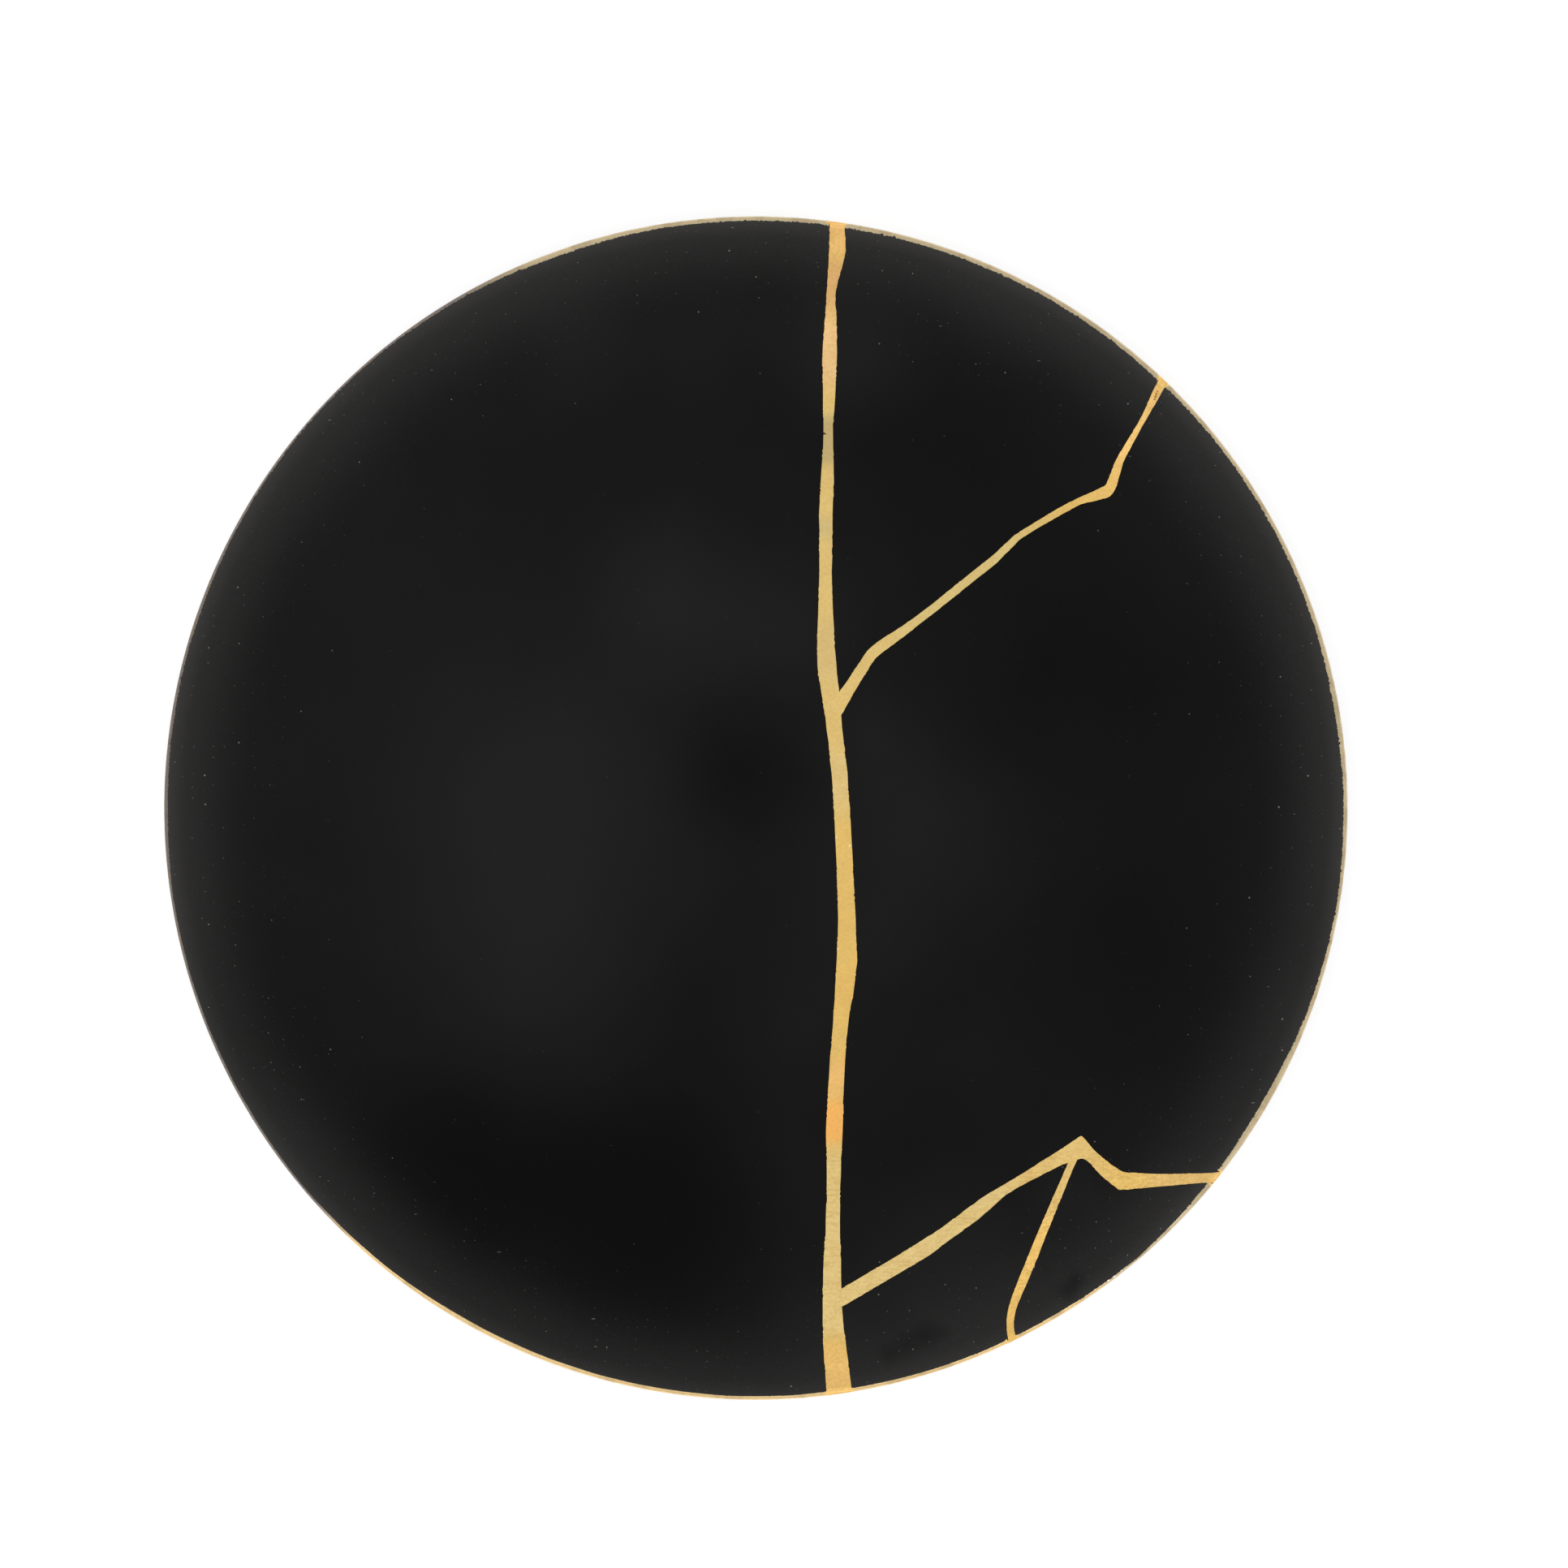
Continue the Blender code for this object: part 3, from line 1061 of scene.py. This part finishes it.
@dataclass(frozen=True)
class Crack:
    """One crack, seen from above: x, y and the gold's width at each station, in millimetres."""

    name: str
    stations: tuple[Station, ...]
    tooth: float = 0.09
    spacing: float = 0.3
    ease: float = 0.40
    tremor: float = 0.07
    tremor_size: float = 1.4
    tooth_size: float = 0.5
    side_offset: float = 9.0
    least_turn: float = 0.01
    least_gap: float = 0.02
    leg_parts: float = 3.0

    def side_marks(self, side: int) -> list[Vector]:
        """Find where one side of the gold passes each station.

        Args:
            side: 1 for the left side, seen along the crack, and -1 for the right.

        Returns:
            One point for each station, in millimetres.
        """
        marks = [Vector(station[:2]) for station in self.stations]
        points = []
        for index, mark in enumerate(marks):
            before = marks[max(index - 1, 0)]
            after = marks[min(index + 1, len(marks) - 1)]
            along = (after - before).normalized()
            half = self.stations[index][2] / 2
            points.append(mark + side * half * Vector((-along.y, along.x)))
        return points

    def side_line(self, side: int) -> list[Vector]:
        """Draw one side of the gold, with eased corners and a slight tremor.

        A slight turn is eased over a long way and a sharp one stays crisp.

        Args:
            side: 1 for the left side and -1 for the right.

        Returns:
            Close points, as many on either side, in millimetres.
        """
        marks = self.side_marks(side)
        corners = [(marks[0], marks[0], marks[0])]
        for before, mark, after in zip(marks[:-2], marks[1:-1], marks[2:]):
            eased = self.ease / ((mark - before).angle(after - mark) + self.least_turn)
            shorter = min((mark - before).length, (after - mark).length)
            reach = min(shorter / self.leg_parts, eased)
            first = mark + (before - mark).normalized() * reach
            last = mark + (after - mark).normalized() * reach
            corners.append((first, (first + 2 * mark + last) / 4, last))
        corners.append((marks[-1], marks[-1], marks[-1]))
        points = []
        for index, (corner, following) in enumerate(zip(corners[:-1], corners[1:])):
            gap = Vector(self.stations[index + 1][:2]) - Vector(self.stations[index][:2])
            count = max(2, round(gap.length / self.spacing))
            points.append(corner[1])
            for step in range(count):
                points.append(corner[2].lerp(following[0], step / (count - 1)))
        points.append(corners[-1][1])
        return [self.shaken(point, side) for point in points]

    def shaken(self, point: Vector, side: int) -> Vector:
        """Move a point a little, as an unsteady hand and a grainy edge do.

        Args:
            point: The point, in millimetres.
            side: 1 for the left side of the crack and -1 for the right.

        Returns:
            The moved point.
        """
        mark = Vector((*point, side * self.side_offset))
        sway = self.tremor * noise.noise_vector(mark / self.tremor_size)
        tooth = self.tooth * noise.noise_vector(mark / self.tooth_size)
        return point + (sway + tooth).xy

    def prism(self, low: float, high: float) -> bpy.types.Object:
        """Stand an upright prism over the crack, with slightly uneven sides.

        Args:
            low: Height of its underside.
            high: Height of its top.

        Returns:
            The prism.
        """
        bm = bmesh.new()
        rows = [
            [bm.verts.new((*(point * MM), low)) for point in pair]
            for pair in zip(self.side_line(1), self.side_line(-1))
        ]
        for (left, right), (next_left, next_right) in zip(rows[:-1], rows[1:]):
            bm.faces.new((left, right, next_right, next_left))
        bmesh.ops.remove_doubles(bm, verts=bm.verts, dist=self.least_gap * MM)
        raised = bmesh.ops.extrude_face_region(bm, geom=bm.faces[:])["geom"]
        tops = [item for item in raised if isinstance(item, bmesh.types.BMVert)]
        bmesh.ops.translate(bm, vec=(0.0, 0.0, high - low), verts=tops)
        return add_object(self.name, mesh_from(bm, self.name))


@dataclass(frozen=True)
class CrackWeb:
    """All the cracks: the main seam from edge to edge and the three that branch from it."""

    main: Crack = Crack(
        "main_seam",
        (
            (18.3, 137.0, 3.1), (18.6, 130.0, 3.6), (18.6, 127.3, 3.8), (18.3, 124.6, 3.4),
            (17.6, 120.8, 2.5), (17.1, 117.1, 2.0), (17.1, 114.4, 2.3), (17.1, 111.6, 2.7),
            (16.9, 104.2, 3.4), (16.7, 94.0, 2.8), (16.5, 85.0, 2.0), (16.4, 77.0, 3.0),
            (16.0, 67.0, 3.1), (15.9, 54.0, 2.8), (15.9, 44.0, 3.5), (16.1, 33.0, 4.4),
            (16.9, 27.0, 4.1), (18.0, 18.0, 3.5), (19.1, 8.0, 3.6), (20.1, -8.0, 3.7),
            (20.8, -25.0, 3.9), (20.8, -35.0, 4.7), (20.3, -41.0, 4.3), (19.3, -49.0, 3.4),
            (18.4, -61.0, 3.5), (17.9, -74.0, 3.8), (17.8, -84.0, 3.1), (17.6, -94.0, 3.1),
            (17.4, -106.0, 4.2), (17.4, -115.0, 4.4), (18.1, -124.0, 5.3), (18.8, -131.0, 5.6),
            (19.4, -137.0, 5.6),
        ),
        tooth=0.14,
    )
    branches: tuple[Crack, ...] = (
        Crack(
            "back_branch",
            (
                (17.4, 21.2, 3.6), (19.6, 24.6, 3.2), (22.0, 28.4, 2.7), (26.4, 35.2, 2.5),
                (29.3, 37.5, 2.7), (32.2, 39.4, 2.3), (38.6, 44.1, 1.8), (49.7, 53.0, 2.0),
                (54.5, 56.8, 1.9), (58.3, 60.5, 1.7), (59.6, 61.8, 1.5), (64.1, 64.7, 1.5),
                (70.2, 68.2, 1.7), (73.8, 70.1, 1.5), (77.4, 71.3, 2.2), (80.1, 72.3, 2.8),
                (81.1, 73.4, 2.4), (81.9, 75.7, 2.2), (83.0, 79.2, 1.8), (85.4, 83.5, 1.4),
                (88.7, 89.3, 1.2), (91.2, 94.2, 1.9), (94.5, 100.6, 2.3),
            ),
        ),
        Crack(
            "front_branch",
            (
                (17.5, -113.0, 3.5), (19.7, -111.8, 3.6), (31.5, -104.9, 3.7),
                (38.8, -100.5, 3.8), (43.5, -97.2, 3.3), (49.7, -92.6, 3.5), (53.4, -89.7, 3.1),
                (56.5, -87.4, 2.2), (62.0, -84.2, 2.3), (67.6, -81.0, 3.0), (69.4, -80.0, 3.2),
                (74.5, -77.4, 5.2), (76.9, -79.8, 2.7), (80.0, -82.7, 3.5), (83.4, -85.2, 4.2),
                (91.5, -85.0, 2.9), (101.7, -84.4, 2.2), (108.0, -84.2, 2.4),
            ),
        ),
        Crack(
            "short_branch",
            (
                (73.2, -78.5, 2.0), (72.0, -81.5, 1.6), (69.9, -86.4, 1.7), (64.2, -100.0, 2.1),
                (61.6, -106.5, 2.2), (59.5, -111.4, 1.9), (58.2, -115.0, 1.7),
                (58.0, -118.4, 1.6), (58.4, -121.0, 1.9), (59.2, -125.5, 2.3),
            ),
        ),
    )

    def solid(self, height: float) -> bpy.types.Object:
        """Join the cracks' prisms into one solid that is taller than the plate.

        Args:
            height: The plate's height.

        Returns:
            The joined prisms.
        """
        web = self.main.prism(-height, 2 * height)
        for number, crack in enumerate(self.branches):
            spare = (number + 1) * MM
            branch = crack.prism(-height - spare, 2 * height + spare)
            web.data = combined(web, Cut.JOIN, branch)
            bpy.data.objects.remove(branch)
        return web


# The pieces


@dataclass(frozen=True)
class SherdSet:
    """The five sherds of the fired body."""

    form: PlateForm
    finish: BlackGlaze = BlackGlaze()
    edge: float = 0.07 * MM

    def build(self, body: bpy.types.Object, cracks: bpy.types.Object) -> list[bpy.types.Object]:
        """Break the body along its cracks, and dress each sherd.

        Args:
            body: The fired body before it broke, which stays as it is.
            cracks: The solid that the cracks take up.

        Returns:
            The sherds.
        """
        broken = combined(body, Cut.TAKE_AWAY, cracks)
        material = self.finish.material()
        return [self.take_sherd(broken, sherd, material) for sherd in Sherd]

    def take_sherd(
        self, broken: bpy.types.Mesh, sherd: Sherd, material: bpy.types.Material
    ) -> bpy.types.Object:
        """Make one sherd's piece from the broken body.

        Args:
            broken: The mesh of all the sherds.
            sherd: Which one to take.
            material: Its finish.

        Returns:
            The piece.
        """
        bm = bmesh.new()
        bm.from_mesh(broken)
        bm.faces.ensure_lookup_table()
        above = Vector((*sherd.middle, 2 * self.form.height / MM)) * MM
        hit = BVHTree.FromBMesh(bm).ray_cast(above, Vector((0.0, 0.0, -1.0)))[2]
        kept = linked_faces(bm.faces[hit])
        others = [face for face in bm.faces if face not in kept]
        bmesh.ops.delete(bm, geom=others, context="FACES")
        soften_edges(bm, self.edge)
        return dress(bm, f"black_{sherd.node}", material, sherd.node)


@dataclass(frozen=True)
class GoldFill:
    """The gold in the cracks, flush with the glaze above and below."""

    finish: SeamGold = SeamGold()
    edge: float = 0.05 * MM

    def build(self, body: bpy.types.Object, cracks: bpy.types.Object) -> bpy.types.Object:
        """Keep the part of the body that the cracks take up, and dress it.

        Args:
            body: The fired body before it broke, which stays as it is.
            cracks: The solid that the cracks take up.

        Returns:
            The piece.
        """
        bm = bmesh.new()
        bm.from_mesh(combined(body, Cut.KEEP_SHARED, cracks))
        soften_edges(bm, self.edge)
        return dress(bm, "gold_fill", self.finish.material(), "gold_seams")


@dataclass(frozen=True)
class GildedLip:
    """A thin gold coat round the lip, whose inner edge was left ragged by hand."""

    form: PlateForm
    finish: LipGold = LipGold()
    turns: int = 240
    cuts: int = 14
    rows: int = 8
    lower_angle: float = math.radians(-38)
    least_width: float = 0.16
    widths: tuple[float, ...] = (
        0.93, 1.15, 0.95, 0.88, 0.90, 1.02, 0.97, 1.05, 1.05,
        0.97, 0.97, 1.20, 0.74, 0.50, 0.45, 0.52, 0.66, 0.68,
        0.86, 0.58, 0.56, 0.56, 0.50, 0.68, 0.97, 0.92, 0.85,
        0.83, 0.86, 0.76, 0.83, 0.50, 1.02, 1.45, 0.90, 0.70,
    )
    flare: float = 0.20
    flare_reach: float = 0.50
    drift: float = 0.08
    tooth: float = 0.24
    bite: float = 0.9
    bite_from: float = 0.32
    bite_layer: float = 31.0
    drift_size: float = 6.0
    tooth_size: float = 0.5
    bite_size: float = 0.7
    calm: float = 0.85
    calm_at: float = math.radians(250)

    def coat_width(self, around: float) -> float:
        """How wide the coat is at one place round the lip, seen from above.

        Args:
            around: Angle from the plate's right, counter-clockwise.

        Returns:
            The width, in millimetres.
        """
        count = len(self.widths)
        place = (around % math.tau) / math.tau * count
        first = int(place) % count
        t = place - int(place)
        ease = t * t * (3 - 2 * t)
        width = self.widths[first] * (1 - ease) + self.widths[(first + 1) % count] * ease
        spot = Vector((math.cos(around), math.sin(around), 0.0)) * self.form.radius / MM
        width += self.drift * noise.noise(spot / self.drift_size)
        ragged = 1 - self.calm * max(0.0, math.cos(around - self.calm_at))
        width += ragged * self.tooth * noise.noise(spot / self.tooth_size)
        bitten = noise.noise(spot / self.bite_size + Vector((0.0, 0.0, self.bite_layer)))
        width -= ragged * self.bite * max(0.0, bitten - self.bite_from)
        for x, y, seam_width in self.finish.crossings:
            beyond = (spot.xy - Vector((x, y))).length - seam_width / 2
            if beyond < 0:
                return self.least_width
            width += self.flare * math.exp(-((beyond / self.flare_reach) ** 2))
        return max(self.least_width, width)

    def inner_angle(self, around: float) -> float:
        """Turn the coat's width into an angle on the lip's half round.

        Args:
            around: Angle from the plate's right, counter-clockwise.

        Returns:
            Angle above the horizontal of the coat's inner edge.
        """
        across = 1 - self.coat_width(around) * MM / self.form.lip_radius
        widest = math.pi / 2 + self.form.inner_angle
        return min(widest, math.acos(max(-1.0, across)))

    def build(self) -> bpy.types.Object:
        """Turn the coat's section round the lip, roughen its inner edge and give it thickness.

        Returns:
            The piece.
        """
        bm = bmesh.new()
        shares = bm.verts.layers.float.new("share")
        verts = []
        for row in range(self.rows):
            r, z = self.form.lip_point(math.pi / 2 * row / (self.rows - 1))
            verts.append(bm.verts.new((r, 0.0, z)))
            verts[-1][shares] = row / (self.rows - 1)
        turn_round(bm, verts, self.turns)
        along = [edge for edge in bm.edges if abs(edge.verts[0].co.z - edge.verts[1].co.z) < LEVEL]
        bmesh.ops.subdivide_edges(bm, edges=along, cuts=self.cuts, use_grid_fill=True)
        for vert in bm.verts:
            around = math.atan2(vert.co.y, vert.co.x)
            upper = self.inner_angle(around)
            angle = self.lower_angle + (upper - self.lower_angle) * vert[shares]
            r, z = self.form.lip_point(angle)
            vert.co = (r * math.cos(around), r * math.sin(around), z)
        bmesh.ops.solidify(bm, geom=bm.faces[:], thickness=-self.form.coat)
        return dress(bm, "gilded_lip", self.finish.material(), "gold_rim")


# The studio


@dataclass(frozen=True)
class Softbox:
    """A square soft light that faces the plate."""

    name: str
    azimuth: float
    elevation: float
    power: float
    distance: float = 1.3
    side: float = 0.7

    def build(self) -> None:
        """Place the light."""
        data = bpy.data.lights.new(self.name, "AREA")
        data.shape = "SQUARE"
        data.size = self.side
        data.energy = self.power
        light = bpy.data.objects.new(self.name, data)
        bpy.context.scene.collection.objects.link(light)
        azimuth = math.radians(self.azimuth)
        elevation = math.radians(self.elevation)
        level = math.cos(elevation)
        away = Vector((level * math.cos(azimuth), level * math.sin(azimuth), math.sin(elevation)))
        light.location = away * self.distance
        light.rotation_euler = away.to_track_quat("Z", "Y").to_euler()


@dataclass(frozen=True)
class Studio:
    """A pale glowing table, soft light from the sides and a camera straight above."""

    table_side: float = 8.0
    table_drop: float = 0.1 * MM
    table_tint: Tint = (0.90, 0.90, 0.90)
    table_roughness: float = 0.9
    table_shine: float = 0.1
    table_glow: float = 0.41
    ring_light: float = 1.12
    top_light: float = 0.9
    ring_from: float = 0.95
    ring_full: float = 0.45
    softboxes: tuple[Softbox, ...] = (
        Softbox("back_left_softbox", 140.0, 38.0, 1.0),
        Softbox("front_left_softbox", 228.0, 38.0, 1.0),
        Softbox("front_right_softbox", 312.0, 38.0, 1.0),
    )
    lens: float = 900.0
    sensor: float = 36.0
    farthest: float = 100.0
    view_centre: Spot = (6.42 * MM, 5.50 * MM)
    view_width: float = 357.7 * MM

    def build(self, rim_height: float) -> None:
        """Set up the table, the lights and the camera.

        Args:
            rim_height: Height of the plate's rim, where the view has its width.
        """
        self.build_table()
        self.build_sky()
        for softbox in self.softboxes:
            softbox.build()
        self.build_camera(rim_height)
        bpy.context.scene.view_settings.view_transform = "Standard"

    def build_table(self) -> None:
        """Lay the pale table top under the plate."""
        bm = bmesh.new()
        bmesh.ops.create_grid(bm, x_segments=1, y_segments=1, size=self.table_side / 2)
        bmesh.ops.translate(bm, vec=(0.0, 0.0, -self.table_drop), verts=bm.verts)
        mesh = bpy.data.meshes.new("table_top")
        bm.to_mesh(mesh)
        bm.free()
        table = add_object("table_top", mesh)
        bench = NodeBench("pale_table")
        inputs = bench.shader.inputs
        bench.coat(self.table_tint, self.table_roughness)
        bench.feed(inputs["Specular IOR Level"], self.table_shine)
        bench.feed(inputs["Emission Color"], (1.0, 1.0, 1.0))
        bench.feed(inputs["Emission Strength"], self.table_glow)
        table.data.materials.append(bench.material)

    def build_sky(self) -> None:
        """Light the scene from a pale ring that is dimmer overhead."""
        world = bpy.data.worlds.new("studio_sky")
        world.use_nodes = True
        tree = world.node_tree
        background = tree.nodes["Background"]
        background.inputs["Color"].default_value = (1.0, 1.0, 1.0, 1.0)
        direction = tree.nodes.new("ShaderNodeTexCoord")
        split = tree.nodes.new("ShaderNodeSeparateXYZ")
        fall = tree.nodes.new("ShaderNodeMapRange")
        fall.interpolation_type = "SMOOTHSTEP"
        fall.inputs["From Min"].default_value = self.ring_full
        fall.inputs["From Max"].default_value = self.ring_from
        fall.inputs["To Min"].default_value = self.ring_light
        fall.inputs["To Max"].default_value = self.top_light
        tree.links.new(direction.outputs["Generated"], split.inputs[0])
        tree.links.new(split.outputs[2], fall.inputs["Value"])
        tree.links.new(fall.outputs[0], background.inputs["Strength"])
        bpy.context.scene.world = world

    def build_camera(self, rim_height: float) -> None:
        """Hang the camera straight above the plate.

        Args:
            rim_height: Height where the view is view_width wide.
        """
        data = bpy.data.cameras.new("overhead_camera")
        data.lens = self.lens
        data.sensor_width = self.sensor
        data.clip_end = self.farthest
        camera = bpy.data.objects.new("overhead_camera", data)
        bpy.context.scene.collection.objects.link(camera)
        rise = self.view_width * self.lens / self.sensor
        camera.location = (*self.view_centre, rim_height + rise)
        bpy.context.scene.camera = camera


def main() -> None:
    """Build every piece in order, then the studio."""
    logging.basicConfig(level=logging.INFO, format="%(name)s: %(message)s")
    noise.seed_set(NOISE_SEED)
    clear_scene()
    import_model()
    rim_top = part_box("gold_rim")[1]
    form = PlateForm(radius=rim_top.x, height=rim_top.z)
    body = form.solid("fired_body")
    cracks = CrackWeb().solid(form.height)
    pieces = SherdSet(form).build(body, cracks)
    pieces.append(GoldFill().build(body, cracks))
    pieces.append(GildedLip(form).build())
    for piece in pieces:
        LOG.info("%s is built with %d faces", piece.name, len(piece.data.polygons))
    bpy.data.objects.remove(cracks)
    bpy.data.objects.remove(body)
    Studio().build(form.height)
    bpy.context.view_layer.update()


if __name__ == "__main__":
    main()
